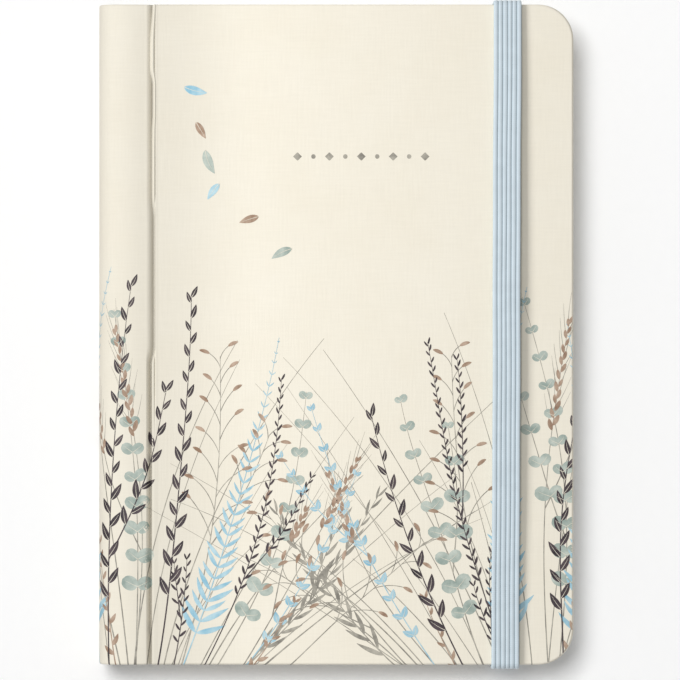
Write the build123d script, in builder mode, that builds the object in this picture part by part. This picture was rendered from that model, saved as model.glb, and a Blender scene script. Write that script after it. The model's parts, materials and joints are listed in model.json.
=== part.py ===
from build123d import *
import math
import os

os.makedirs("parts", exist_ok=True)

# Address book that lies on its back cover: x runs from the spine to the fore-edge, y from tail to
# head, z from the back cover's face up to the front cover's face. All sizes are in millimetres.

# The hard case: greyboard panels in printed paper, lined inside
COVER_WIDTH = 128.0        # outer face of the spine to the fore-edge
COVER_HEIGHT = 178.0       # tail to head
BOARD = 2.0                # greyboard
PAPER = 0.3                # cover paper with its glue
ENDPAPER = 0.25            # lining glued over the turned-in paper
TURN_IN = 14.0             # width of the cover paper folded to the inside
ENDPAPER_MARGIN = 3.0      # turned-in paper left showing round the endpaper
CORNER_RADIUS = 9.5        # fore-edge corners of the covers
EDGE_ROUND = 0.6           # paper drawn over an edge of the board
SHOULDER_RADIUS = 4.0      # bend of the bare paper between spine and covers
GROOVE_CENTRE = 14.1       # hinge groove, from the outer face of the spine
GROOVE_WIDTH = 2.0         # wall to wall
GROOVE_DEPTH = 1.2         # fold line of the groove below the cover's face
STRIP_FALL = 0.4           # the strip beside the spine falls this much towards the groove

# The leaves: a title leaf and sections of plain leaves, each behind its tab leaf
SECTIONS = ("ab", "cd", "ef", "gh", "ij", "kl", "mn", "op", "qr", "st", "uvw", "xyz")
TITLE_LEAF = 0.3
TAB_LEAF = 0.28
PLAIN_LEAVES = 0.5         # the four leaves behind one tab
LEAF_GAP = 0.05            # air between two sections
COVER_SQUARE = 3.0         # covers stand past leaves and tabs
TAB_REACH = 7.0            # tabs stand past the plain leaves
TAB_SPACE = 0.8            # between neighbouring tabs
TAB_ROUND = 2.2
LEAF_CORNER = 5.5

# The twin-loop wire binding, hidden in the spine
WIRE = 1.0                 # diameter of the wire
WIRE_REACH = 2.9           # from the wire's axis to the loop, level with the stack's faces
WIRE_ROOM = 0.3            # between the loops and the case
LOOP_PITCH = 25.4 / 3      # three loops to the inch
LOOP_STRANDS = 2.3         # between the two strands of one loop
LOOP_BEND = 1.2            # bend from a strand into the base of the wire
LOOP_OPEN = 20.0           # degrees left open each side of the wire's lowest line
HOLE_CLEAR = 0.3           # between the wire and a punched hole
HOLE_MARGIN = 2.4          # paper left between a hole and the bound edge
BINDING_CARD = 0.5         # punched card that ties the wire to the back cover
CARD_WIRE_GAP = 0.6        # packing stops this far short of the loops

# The elastic closure, let into the back cover
BAND_WIDTH = 8.0
BAND_THICKNESS = 0.9
BAND_CENTRE = 109.8        # from the outer face of the spine
BAND_GAP = 0.05            # between the taut band and the covers
BAND_BEND = 0.75           # inner radius where the band turns over an edge
SLIT_INSET = 12.0          # slits in the back board, from head and tail
FLAP_LENGTH = 14.0         # glued end of the elastic under the endpaper
BED_CLEAR = 0.1            # between the elastic and its bed in the board

# Places worked out from the sizes above
SPINE_X = -COVER_WIDTH / 2
FORE_X = COVER_WIDTH / 2
PANEL = BOARD + 2 * PAPER + ENDPAPER
LAYERS = BOARD + 2 * PAPER
SECTION = TAB_LEAF + PLAIN_LEAVES + LEAF_GAP
STACK = BINDING_CARD + len(SECTIONS) * SECTION + LEAF_GAP + TITLE_LEAF
LOOP_INNER = math.hypot(STACK / 2, WIRE_REACH)
LOOP_RADIUS = LOOP_INNER + WIRE / 2
LOOP_OUTER = LOOP_INNER + WIRE
THICKNESS = 2 * (PANEL + WIRE_ROOM + LOOP_OUTER)
WIRE_X = SPINE_X + PANEL + WIRE_ROOM + LOOP_OUTER
WIRE_Z = THICKNESS / 2
GROOVE_X = SPINE_X + GROOVE_CENTRE
STRIP_X = SPINE_X + SHOULDER_RADIUS
STRIP_END_X = GROOVE_X - GROOVE_WIDTH / 2
FRONT_X = GROOVE_X + GROOVE_WIDTH / 2
BAND_X = SPINE_X + BAND_CENTRE
SLIT_Y = COVER_HEIGHT / 2 - SLIT_INSET
LEAF_HEIGHT = COVER_HEIGHT - 2 * COVER_SQUARE
LEAF_X = FORE_X - COVER_SQUARE - TAB_REACH
HOLE_X0 = WIRE_X + WIRE_REACH - HOLE_CLEAR
HOLE_X1 = WIRE_X + LOOP_OUTER + HOLE_CLEAR
HOLE_HEIGHT = LOOP_STRANDS + WIRE + 2 * HOLE_CLEAR
BOUND_X = HOLE_X0 - HOLE_MARGIN
LOOPS = int((LEAF_HEIGHT - HOLE_HEIGHT) / LOOP_PITCH)
TAB_PITCH = (LEAF_HEIGHT - 2 * LEAF_CORNER) / len(SECTIONS)
STACK_Z = WIRE_Z - STACK / 2

FRONT_FACE = Plane(origin=(0, 0, THICKNESS), x_dir=(1, 0, 0), z_dir=(0, 0, -1))
BACK_FACE = Plane.XY


def save(piece, name):
    """Labels a finished piece and writes it as a node of its own."""
    piece.part.label = name
    export_step(piece.part, f"parts/{name}.step")


def cover_outline(hinge_x, fore_x, height, radius):
    """Rectangle whose two fore-edge corners are rounded."""
    with BuildSketch() as outline:
        with Locations(((hinge_x + fore_x) / 2, 0)):
            Rectangle(fore_x - hinge_x, height)
        fillet(outline.vertices().group_by(Axis.X)[-1], radius)
    return outline.sketch


def leaf_outline(tab=None):
    """Leaf with rounded fore-edge corners and a row of punched holes; a tab counts from the head."""
    with BuildSketch() as outline:
        add(cover_outline(BOUND_X, LEAF_X, LEAF_HEIGHT, LEAF_CORNER))
        if tab is not None:
            tab_y = LEAF_HEIGHT / 2 - LEAF_CORNER - (tab + 0.5) * TAB_PITCH
            with Locations((LEAF_X, tab_y)):
                Rectangle(2 * TAB_REACH, TAB_PITCH - TAB_SPACE)
            fillet(outline.vertices().group_by(Axis.X)[-1], TAB_ROUND)
        with Locations(((HOLE_X0 + HOLE_X1) / 2, 0)):
            with GridLocations(LOOP_PITCH, LOOP_PITCH, 1, LOOPS):
                Rectangle(HOLE_X1 - HOLE_X0, HOLE_HEIGHT, mode=Mode.SUBTRACT)
    return outline.sketch


def elastic_route(end, clear):
    """End of the elastic: flush in the back face, through the slit, then flat under the endpaper."""
    wide = BAND_THICKNESS + clear
    inside_z = PAPER + BOARD
    with BuildPart() as route:
        with BuildSketch(Plane.YZ.offset(BAND_X)):
            with Locations((end * COVER_HEIGHT / 2, 0)):
                outer_align = Align.MAX if end > 0 else Align.MIN
                Rectangle(SLIT_INSET + wide, wide, align=(outer_align, Align.MIN))
            with Locations((end * SLIT_Y, 0)):
                Rectangle(wide, inside_z, align=(outer_align, Align.MIN))
            with Locations((end * (SLIT_Y + clear / 2), inside_z)):
                Rectangle(FLAP_LENGTH + clear, wide, align=(outer_align, Align.MAX))
        extrude(amount=BAND_WIDTH / 2 + clear, both=True)
    return route


def cover_panel(side, face, hinge_x, beds):
    """Board, cover paper and endpaper of one cover, layer by layer inwards from its outer face."""
    with BuildSketch() as lined:
        with Locations(((hinge_x + FORE_X - TURN_IN) / 2, 0)):
            Rectangle(FORE_X - TURN_IN - hinge_x, COVER_HEIGHT - 2 * TURN_IN)

    with BuildPart() as board:
        with BuildSketch(face.offset(PAPER)):
            add(cover_outline(hinge_x + PAPER, FORE_X - PAPER, COVER_HEIGHT - 2 * PAPER,
                              CORNER_RADIUS - PAPER))
        extrude(amount=BOARD)
        fillet(board.edges().filter_by(Axis.Z, reverse=True), EDGE_ROUND - PAPER)

    with BuildPart() as paper:
        with BuildSketch(face):
            add(cover_outline(hinge_x, FORE_X, COVER_HEIGHT, CORNER_RADIUS))
        extrude(amount=LAYERS)
        fillet(paper.edges().filter_by(Axis.Z, reverse=True), EDGE_ROUND)
        add(board.part, mode=Mode.SUBTRACT)
        with BuildSketch(face.offset(PAPER + BOARD)):
            add(lined.sketch)
        extrude(amount=PAPER, mode=Mode.SUBTRACT)
        for bed in beds:
            add(bed.part, mode=Mode.SUBTRACT)
    save(paper, f"{side}_cover_paper")

    with BuildPart() as bedded_board:
        add(board.part)
        for bed in beds:
            add(bed.part, mode=Mode.SUBTRACT)
    save(bedded_board, f"{side}_board")

    with BuildPart() as endpaper:
        with BuildSketch(face.offset(PAPER + BOARD)):
            add(lined.sketch)
        extrude(amount=PAPER)
        with BuildSketch(face.offset(LAYERS)):
            add(cover_outline(hinge_x, FORE_X - ENDPAPER_MARGIN, COVER_HEIGHT - 2 * ENDPAPER_MARGIN,
                              CORNER_RADIUS - ENDPAPER_MARGIN))
        extrude(amount=ENDPAPER)
    save(endpaper, f"{side}_endpaper")


def cross_section(x0, x1, z0, z1):
    """Rectangle across the book, for a piece that runs from head to tail."""
    with BuildSketch() as section:
        with Locations(((x0 + x1) / 2, (z0 + z1) / 2)):
            Rectangle(x1 - x0, z1 - z0)
    return section.sketch


def strip_section(inset, floor_z):
    """Section of the strip: its top falls in an arc from the shoulder to the rounded groove edge."""
    end_x = STRIP_END_X - inset
    with BuildSketch() as section:
        with BuildLine():
            top = TangentArc((STRIP_X, THICKNESS - inset), (end_x, THICKNESS - STRIP_FALL - inset),
                             tangent=(1, 0))
            Polyline(top @ 0, (STRIP_X, floor_z), (end_x, floor_z), top @ 1)
        make_face()
        fillet(section.vertices().sort_by_distance(top @ 1)[0], EDGE_ROUND - inset)
    return section.sketch


def shoulder_section(corner_z, vertical):
    """Quarter ring of bare paper and lining round one long edge of the spine."""
    with BuildSketch() as section:
        with Locations((STRIP_X, corner_z)):
            Circle(SHOULDER_RADIUS)
            Circle(SHOULDER_RADIUS - PAPER - ENDPAPER, mode=Mode.SUBTRACT)
            Rectangle(SHOULDER_RADIUS, SHOULDER_RADIUS, align=(Align.MAX, vertical), mode=Mode.INTERSECT)
    return section.sketch


def loop_point(angle):
    """Point on the middle line of a wire loop, at an angle from the fore-edge side."""
    turn = math.radians(angle)
    return Vector(WIRE_X + LOOP_RADIUS * math.cos(turn), 0, WIRE_Z + LOOP_RADIUS * math.sin(turn))


def along_loop(angle):
    """Unit direction along a wire loop, towards a larger angle."""
    turn = math.radians(angle)
    return Vector(-math.sin(turn), 0, math.cos(turn))


# Covers: the front hangs on the groove, the back carries the leaves and the ends of the elastic
beds = [elastic_route(end, BED_CLEAR) for end in (1, -1)]
cover_panel("front", FRONT_FACE, FRONT_X, [])
cover_panel("back", BACK_FACE, STRIP_X, beds)

# Strip between the spine and the groove
STRIP_BOARD_Z = THICKNESS - PAPER - BOARD
STRIP_PAPER_Z = THICKNESS - LAYERS
strip_pad = cross_section(STRIP_X, STRIP_END_X, STRIP_PAPER_Z, STRIP_BOARD_Z)

with BuildPart() as strip_board:
    with BuildSketch(Plane.XZ):
        add(strip_section(PAPER, STRIP_BOARD_Z))
    extrude(amount=COVER_HEIGHT / 2 - PAPER, both=True)
    fillet(strip_board.faces().filter_by(Axis.Y).edges().group_by(Axis.Z)[-1], EDGE_ROUND - PAPER)
save(strip_board, "strip_board")

with BuildPart() as strip_cover_paper:
    with BuildSketch(Plane.XZ):
        add(strip_section(0, STRIP_PAPER_Z))
    extrude(amount=COVER_HEIGHT / 2, both=True)
    fillet(strip_cover_paper.faces().filter_by(Axis.Y).edges().group_by(Axis.Z)[-1], EDGE_ROUND)
    add(strip_board.part, mode=Mode.SUBTRACT)
    with BuildSketch(Plane.XZ):
        add(strip_pad)
    extrude(amount=COVER_HEIGHT / 2 - TURN_IN, both=True, mode=Mode.SUBTRACT)
save(strip_cover_paper, "strip_cover_paper")

with BuildPart() as strip_lining:
    with BuildSketch(Plane.XZ):
        add(strip_pad)
    extrude(amount=COVER_HEIGHT / 2 - TURN_IN, both=True)
    with BuildSketch(Plane.XZ):
        add(cross_section(STRIP_X, STRIP_END_X, THICKNESS - PANEL, STRIP_PAPER_Z))
    extrude(amount=COVER_HEIGHT / 2 - ENDPAPER_MARGIN, both=True)
save(strip_lining, "strip_lining")

# Spine panel
SPINE_Z0 = SHOULDER_RADIUS
SPINE_Z1 = THICKNESS - SHOULDER_RADIUS
spine_pad = cross_section(SPINE_X + PAPER + BOARD, SPINE_X + LAYERS, SPINE_Z0, SPINE_Z1)

with BuildPart() as spine_board:
    with BuildSketch(Plane.XZ):
        add(cross_section(SPINE_X + PAPER, SPINE_X + PAPER + BOARD, SPINE_Z0, SPINE_Z1))
    extrude(amount=COVER_HEIGHT / 2 - PAPER, both=True)
    fillet(spine_board.faces().sort_by(Axis.X)[0].edges().filter_by(Axis.Z), EDGE_ROUND - PAPER)
save(spine_board, "spine_board")

with BuildPart() as spine_cover_paper:
    with BuildSketch(Plane.XZ):
        add(cross_section(SPINE_X, SPINE_X + LAYERS, SPINE_Z0, SPINE_Z1))
    extrude(amount=COVER_HEIGHT / 2, both=True)
    fillet(spine_cover_paper.faces().sort_by(Axis.X)[0].edges().filter_by(Axis.Z), EDGE_ROUND)
    add(spine_board.part, mode=Mode.SUBTRACT)
    with BuildSketch(Plane.XZ):
        add(spine_pad)
    extrude(amount=COVER_HEIGHT / 2 - TURN_IN, both=True, mode=Mode.SUBTRACT)
save(spine_cover_paper, "spine_cover_paper")

with BuildPart() as spine_lining:
    with BuildSketch(Plane.XZ):
        add(spine_pad)
    extrude(amount=COVER_HEIGHT / 2 - TURN_IN, both=True)
    with BuildSketch(Plane.XZ):
        add(cross_section(SPINE_X + LAYERS, SPINE_X + PANEL, SPINE_Z0, SPINE_Z1))
    extrude(amount=COVER_HEIGHT / 2 - ENDPAPER_MARGIN, both=True)
save(spine_lining, "spine_lining")

# Bare paper and lining that bend: the groove and the two long edges of the spine
with BuildPart() as groove_hinge:
    with BuildSketch(Plane.XZ):
        add(cross_section(STRIP_END_X, FRONT_X, THICKNESS - GROOVE_DEPTH - ENDPAPER,
                          THICKNESS - GROOVE_DEPTH + PAPER))
    extrude(amount=COVER_HEIGHT / 2, both=True)
save(groove_hinge, "groove_hinge")

with BuildPart() as front_shoulder:
    with BuildSketch(Plane.XZ):
        add(shoulder_section(SPINE_Z1, Align.MIN))
    extrude(amount=COVER_HEIGHT / 2, both=True)
save(front_shoulder, "front_shoulder")

with BuildPart() as back_shoulder:
    with BuildSketch(Plane.XZ):
        add(shoulder_section(SPINE_Z0, Align.MAX))
    extrude(amount=COVER_HEIGHT / 2, both=True)
save(back_shoulder, "back_shoulder")

# Twin-loop wire: one loop is swept, and the row of loops joins at the base of the wire
ROOT_ANGLE = 270 - LOOP_OPEN
TIP_ANGLE = -90 + LOOP_OPEN
HALF_STRANDS = LOOP_STRANDS / 2
along_y = Vector(0, 1, 0)
root = loop_point(ROOT_ANGLE)
tip = loop_point(TIP_ANGLE)
top = loop_point(90)
base = root + along_loop(ROOT_ANGLE) * LOOP_BEND
tip_end = tip - along_loop(TIP_ANGLE) * HALF_STRANDS
bend_slant = math.sqrt(0.5) * LOOP_BEND

with BuildPart() as loop:
    with BuildLine() as path:
        for strand in (-1, 1):
            side = along_y * strand * HALF_STRANDS
            bend_y = along_y * strand * (HALF_STRANDS + LOOP_BEND)
            bend_middle = root + bend_y + (along_loop(ROOT_ANGLE) - along_y * strand) * bend_slant
            Line(base + along_y * strand * LOOP_PITCH / 2, base + bend_y)
            ThreePointArc(base + bend_y, bend_middle, root + side)
            ThreePointArc(root + side, loop_point(ROOT_ANGLE / 2 + 45) + side, top + side)
            ThreePointArc(top + side, loop_point(TIP_ANGLE / 2 + 45) + side, tip + side)
        ThreePointArc(tip - along_y * HALF_STRANDS, tip_end, tip + along_y * HALF_STRANDS)
    with BuildSketch(Plane(origin=base - along_y * LOOP_PITCH / 2, z_dir=along_y)):
        Circle(WIRE / 2)
    sweep()

with BuildPart() as binding_wire:
    with GridLocations(LOOP_PITCH, LOOP_PITCH, 1, LOOPS):
        add(loop.part)
save(binding_wire, "binding_wire")

# Punched card that the wire holds, glued on packing to the back cover
with BuildPart() as binding_card:
    with BuildSketch(Plane.XY.offset(STACK_Z)):
        add(leaf_outline())
    extrude(amount=BINDING_CARD)
save(binding_card, "binding_card")

with BuildPart() as binding_packing:
    with BuildSketch(Plane.XY.offset(PANEL)):
        add(cover_outline(HOLE_X1 + CARD_WIRE_GAP, LEAF_X, LEAF_HEIGHT, LEAF_CORNER))
    extrude(amount=STACK_Z - PANEL)
save(binding_packing, "binding_packing")

# Leaves, from the title leaf at the front down to the last section
with BuildPart() as title_leaf:
    with BuildSketch(Plane.XY.offset(STACK_Z + STACK - TITLE_LEAF)):
        add(leaf_outline())
    extrude(amount=TITLE_LEAF)
save(title_leaf, "title_leaf")

for place, letters in enumerate(SECTIONS):
    section_top = STACK_Z + STACK - TITLE_LEAF - LEAF_GAP - place * SECTION
    with BuildPart() as tab_leaf:
        with BuildSketch(Plane.XY.offset(section_top - TAB_LEAF)):
            add(leaf_outline(place))
        extrude(amount=TAB_LEAF)
    save(tab_leaf, f"tab_leaf_{letters}")
    with BuildPart() as plain_leaves:
        with BuildSketch(Plane.XY.offset(section_top - TAB_LEAF - PLAIN_LEAVES)):
            add(leaf_outline())
        extrude(amount=PLAIN_LEAVES)
    save(plain_leaves, f"leaves_{letters}")

# Elastic: a hoop over the front, and two fixed ends in the back cover
HOOP_HEIGHT = COVER_HEIGHT + 2 * BAND_GAP
HOOP_TOP = THICKNESS + BAND_GAP
with BuildPart() as elastic_band:
    with BuildSketch(Plane.YZ.offset(BAND_X)) as hoop:
        Rectangle(HOOP_HEIGHT + 2 * BAND_THICKNESS, HOOP_TOP + BAND_THICKNESS,
                  align=(Align.CENTER, Align.MIN))
        fillet(hoop.vertices().group_by(Axis.Y)[-1], BAND_BEND + BAND_THICKNESS)
        with BuildSketch(mode=Mode.SUBTRACT) as inside:
            Rectangle(HOOP_HEIGHT, HOOP_TOP, align=(Align.CENTER, Align.MIN))
            fillet(inside.vertices().group_by(Axis.Y)[-1], BAND_BEND)
    extrude(amount=BAND_WIDTH / 2, both=True)
save(elastic_band, "elastic_band")

save(elastic_route(1, 0), "elastic_end_head")
save(elastic_route(-1, 0), "elastic_end_tail")
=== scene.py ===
import json
import bpy
import numpy as np
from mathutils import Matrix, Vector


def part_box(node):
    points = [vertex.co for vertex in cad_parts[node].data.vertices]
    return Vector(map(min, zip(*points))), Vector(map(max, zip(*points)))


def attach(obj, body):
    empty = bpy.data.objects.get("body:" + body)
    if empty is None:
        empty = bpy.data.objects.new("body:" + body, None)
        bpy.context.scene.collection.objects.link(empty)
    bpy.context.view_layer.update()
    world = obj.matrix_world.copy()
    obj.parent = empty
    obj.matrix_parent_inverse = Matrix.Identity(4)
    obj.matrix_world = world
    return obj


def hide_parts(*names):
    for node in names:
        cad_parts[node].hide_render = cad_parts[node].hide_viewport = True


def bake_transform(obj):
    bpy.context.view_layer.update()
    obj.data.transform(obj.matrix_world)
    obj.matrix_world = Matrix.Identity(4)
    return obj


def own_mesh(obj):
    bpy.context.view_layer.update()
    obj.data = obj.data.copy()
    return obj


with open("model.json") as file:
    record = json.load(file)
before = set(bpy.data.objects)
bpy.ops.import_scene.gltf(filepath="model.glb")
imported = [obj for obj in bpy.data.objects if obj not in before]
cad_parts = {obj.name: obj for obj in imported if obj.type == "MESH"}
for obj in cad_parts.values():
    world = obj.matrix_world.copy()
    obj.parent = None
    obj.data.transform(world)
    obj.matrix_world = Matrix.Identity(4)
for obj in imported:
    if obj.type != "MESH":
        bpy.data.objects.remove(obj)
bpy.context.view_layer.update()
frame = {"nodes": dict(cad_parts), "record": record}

# Address book lying on its back cover. Sizes are in millimetres, and a mesh is made in metres.
MM = 0.001
SECTIONS = ("ab", "cd", "ef", "gh", "ij", "kl", "mn", "op", "qr", "st", "uvw", "xyz")
rng = np.random.default_rng(11)


def node_box(node):
    """Lowest and highest corner of a CAD node, in millimetres."""
    low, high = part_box(node)
    return np.array(low) / MM, np.array(high) / MM


# Places read from the frame
front_low, front_high = node_box("front_cover_paper")
strip_low, strip_high = node_box("strip_cover_paper")
spine_low, _ = node_box("spine_cover_paper")
band_low, band_high = node_box("elastic_band")
_, end_high = node_box("elastic_end_head")
leaf_low, leaf_high = node_box("title_leaf")
_, wire_high = node_box("binding_wire")
TOP = front_high[2]
HEAD = front_high[1]
FORE_X = front_high[0]
FRONT_X = front_low[0]
STRIP_X = strip_low[0]
STRIP_END = strip_high[0]
SPINE_X = spine_low[0]
GROOVE_X = (STRIP_END + FRONT_X) / 2
SHOULDER = STRIP_X - SPINE_X

# Sizes that the case's paper shares with the CAD boards under it
EDGE_ROUND = 0.6  # paper drawn over an edge of the board
STRIP_FALL = 0.4  # the strip falls this much towards the groove
CORNER_RADIUS = 9.5  # fore-edge corners of the covers
LAY = 0.008  # a paper surface lies this far over the board's own paper
PAPER = 0.25  # thickness of a paper surface

# Hinge groove, across it from its middle
GROOVE_DEPTH = 1.45
LOWER_FADES = (-8.0, -3.0)  # heights between which its lower part passes into its middle part
UPPER_FADES = (31.0, 38.0)  # and its middle part into its upper part
GROOVE_FROM = (-1.42, -1.22, -1.25)  # the paper leaves the strip's face here: lower, middle and upper part
GROOVE_TO = (0.36, 1.52, 1.3)  # and meets the cover's face here
GROOVE_LIP = 0.35  # paper shown on either side of it
CREASE_X = (-0.23, 0.56)  # deepest line of its lower and middle part
FALL_POWER = 1.9  # the larger, the later the paper turns down from the strip
RISE_POWER = 3.0  # the larger, the steeper it comes up to the cover
FULL_REACH = 1.63  # way down to the crease for which the upper part has the full depth
DEPTH_POWER = 1.6  # the larger, the shallower it is where it is narrower
LINE_FADES = (-30.0, -12.0)  # the middle crease runs on down as a faint line until here
LINE_X = 1.05
LINE_DEPTH = 0.3
LINE_WIDTH = 0.18
PUCKER_X = 0.84  # in its upper part the paper puckers into a thin ridge
PUCKER_HEIGHT = 0.22
PUCKER_WIDTH = 0.25
PUCKER_TO_CREASE = 0.72  # the crease runs this far left of the ridge
DRIFT_FADES = (54.0, 60.0)  # above these heights the ridge drifts right
DRIFT_RIGHT = 0.2
ASIDE_FADES = ((67.5, 72.0), (77.0, 91.0))  # it steps left over the first two and back over the others
ASIDE_LEFT = 0.62
PINCH_FADES = (30.5, 33.5)  # a second crease is pinched right of the ridge
PINCH_TO_RIDGE = 0.52
PINCH_DEPTH = 0.42
PINCH_WIDTH = 0.26
PINCH_LEAST = 0.1  # share of its depth that it has everywhere
PINCH_AT_HEAD = 0.9  # share that is added near the head
PINCH_HEAD_FADES = ((68.0, 71.0), (83.0, 88.0))
PINCH_LOW = 0.8  # and at its lower end
PINCH_LOW_FADES = (46.0, 54.0)
PINCH_ASIDE = 0.2  # it steps left this much less than the ridge

# Elastic
RIBS = 6
RIB_VALLEY = 0.66  # height of a valley between two ribs, as a share of a rib's
ELASTIC_THICK = 1.15  # free of the back cover, where it isn't pressed flat
SLIT_INSET = 12.0  # slits in the back board, from head and tail
FLAP_END = 14.0  # glued end of the elastic, from the slit
BAND_CORNER = 0.75  # inner radius where the band turns over an edge
SLIT_CORNER = 0.05  # and where its ends turn into the slits
BAND_DRAW = 0.5  # the stretched band is this much narrower over the front
BAND_LEAN = (0.43, -0.19)  # and stands this far aside at head and tail
BAND_BOW = 0.65  # and this far off the cover at its middle
BAND_EASE = 7.0  # length from the back cover over which it takes these up

# Leaves
HOLE_MARGIN = 2.4
HOLE_CLEAR = 0.3
HOLE_HEIGHT = 3.9
HOLE_PITCH = 25.4 / 3
HOLES = 19
LEAF_CORNER = 5.5
SHEETS = 4  # loose leaves behind one tab
SHEET = 0.1
SHEET_SLIP = 0.14  # leaves stand this much out of line
TAB_REACH = 7.0
LETTER_SIZE = 4.2
LETTER_SPACING = 0.82  # from one letter to the next below, as a share of the font's own
LETTER_LIFT = 0.01
TITLE_RULES = ((12.0, 0.5), (13.4, 0.22))  # inset and width of the rules round the title leaf
TITLE_BOUND = 6.0  # they stand this much nearer the holes
RULE_PITCH = 8.0  # printed rules of the other leaves
RULE_WIDTH = 0.22
RULED_X = 1.5  # middle of their field, with its half-width and half-height
RULED_WIDE = 45.0
RULED_HIGH = 70.0


def add_node(tree, kind, inputs=(), **settings):
    """Adds a node, sets its properties, and fills inputs with values or links from other outputs."""
    made = tree.nodes.new("ShaderNode" + kind)
    for name, value in settings.items():
        setattr(made, name, value)
    for key, value in dict(inputs).items():
        if isinstance(value, bpy.types.NodeSocket):
            tree.links.new(value, made.inputs[key])
        else:
            made.inputs[key].default_value = value
    return made


def colour(hex_code):
    """sRGB hex to linear: below 0.04045 a straight line, above it a power of 2.4."""
    part = np.array([int(hex_code[i:i + 2], 16) for i in (1, 3, 5)]) / 255
    linear = np.where(part <= 0.04045, part / 12.92, ((part + 0.055) / 1.055) ** 2.4)
    return (*linear, 1.0)


def start_material(name, values):
    """A material with some values on its shader. Also returns the outputs of its texture coordinates."""
    material = bpy.data.materials.new(name)
    material.use_nodes = True
    tree = material.node_tree
    tree.nodes.clear()
    shader = add_node(tree, "BsdfPrincipled", values)
    add_node(tree, "OutputMaterial", {"Surface": shader.outputs["BSDF"]})
    return material, tree, shader, add_node(tree, "TexCoord").outputs


def finish_colour(tree, shader, tint, height, depth, strength):
    """Sends a colour and a bump of a depth in millimetres to the shader."""
    bump = add_node(tree, "Bump", {"Strength": strength, "Distance": depth * MM, "Height": height})
    tree.links.new(tint, shader.inputs["Base Color"])
    tree.links.new(bump.outputs["Normal"], shader.inputs["Normal"])


THREAD = 0.5  # linen emboss: width of a thread, coarser than the real 0.3 so that it shows
SLUB = 7.0  # length over which a thread swells and thins
# Painted shade along the hinge: factors on the paper's colour at distances from the groove, darkest beside it
PAINTED_HINGE_SHADE = ((-10.0, 1.0), (-0.5, 0.89), (0.5, 0.83), (30.0, 1.0))
CREASE_SHADE = 0.32  # painted shade: it is this much darker still in its creases
CREASE_POWER = 0.85  # the larger, the closer that stays to the deepest line


def embossed_paper(name, light, dark, blotch, spread, painted_hinge_shade=False):
    """Matt covering paper with a fine linen emboss: threads both ways that catch the light, over a soft
    mottle.

    light and dark are the ends of the mottle, blotch its size and spread how much of the range it uses.
    With painted hinge shade, it is darker towards the groove from both sides. Painted shade also darkens it
    by how deep in a crease a point lies."""
    material, tree, shader, coords = start_material(name, {"Roughness": 0.68, "IOR": 1.46})
    place = coords["Object"]
    threads = []
    for size in ((SLUB, THREAD, THREAD), (THREAD, SLUB, SLUB)):
        scale = tuple(1 / (length * MM) for length in size)
        stretched = add_node(tree, "Mapping", {"Vector": place, "Scale": scale}).outputs["Vector"]
        thread = add_node(tree, "TexNoise", {"Vector": stretched, "Scale": 1.0, "Detail": 2.0})
        threads.append(thread.outputs["Fac"])
    weave = add_node(tree, "Math", dict(enumerate(threads)), operation="ADD").outputs["Value"]
    blotches = {"Vector": place, "Scale": 1 / (blotch * MM), "Detail": 4.0, "Roughness": 0.6}
    mottle = add_node(tree, "TexNoise", blotches).outputs["Fac"]
    used = {"Value": mottle, "From Min": 0.5 - spread, "From Max": 0.5 + spread}
    share = add_node(tree, "MapRange", used).outputs["Result"]
    tints = {0: share, 6: colour(light), 7: colour(dark)}
    ground = add_node(tree, "Mix", tints, data_type="RGBA").outputs[2]
    # Painted shade: darker by how deep in a crease a point lies
    in_crease = add_node(tree, "Attribute", attribute_name="crease").outputs["Fac"]
    crease_shade = {"Value": in_crease, "To Min": 1.0, "To Max": 1 - CREASE_SHADE}
    painted_shades = [add_node(tree, "MapRange", crease_shade).outputs["Result"]]
    # Painted shade: the colour darkens towards the groove from both sides
    if painted_hinge_shade:
        reach = [GROOVE_X + away for away, tone in PAINTED_HINGE_SHADE]
        along = add_node(tree, "SeparateXYZ", {"Vector": place}).outputs["X"]
        hinge_shade_span = {"Value": along, "From Min": reach[0] * MM, "From Max": reach[-1] * MM}
        across = add_node(tree, "MapRange", hinge_shade_span).outputs["Result"]
        ramp = add_node(tree, "ValToRGB", {"Fac": across})
        ramp.color_ramp.interpolation = "EASE"
        for x in reach[1:-1]:
            ramp.color_ramp.elements.new((x - reach[0]) / (reach[-1] - reach[0]))
        for element, (away, tone) in zip(ramp.color_ramp.elements, PAINTED_HINGE_SHADE):
            element.color = (tone, tone, tone, 1)
        painted_shades.append(ramp.outputs["Color"])
    raised = {"Value": weave, "From Min": 0.6, "From Max": 1.4, "To Min": 0.955, "To Max": 1.0}
    shade = add_node(tree, "MapRange", raised).outputs["Result"]
    for tone in painted_shades:
        shade = add_node(tree, "Math", {0: shade, 1: tone}, operation="MULTIPLY").outputs["Value"]
    woven = add_node(tree, "VectorMath", {0: ground, "Scale": shade}, operation="SCALE").outputs["Vector"]
    finish_colour(tree, shader, woven, weave, 0.06, 0.35)
    return material


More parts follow.
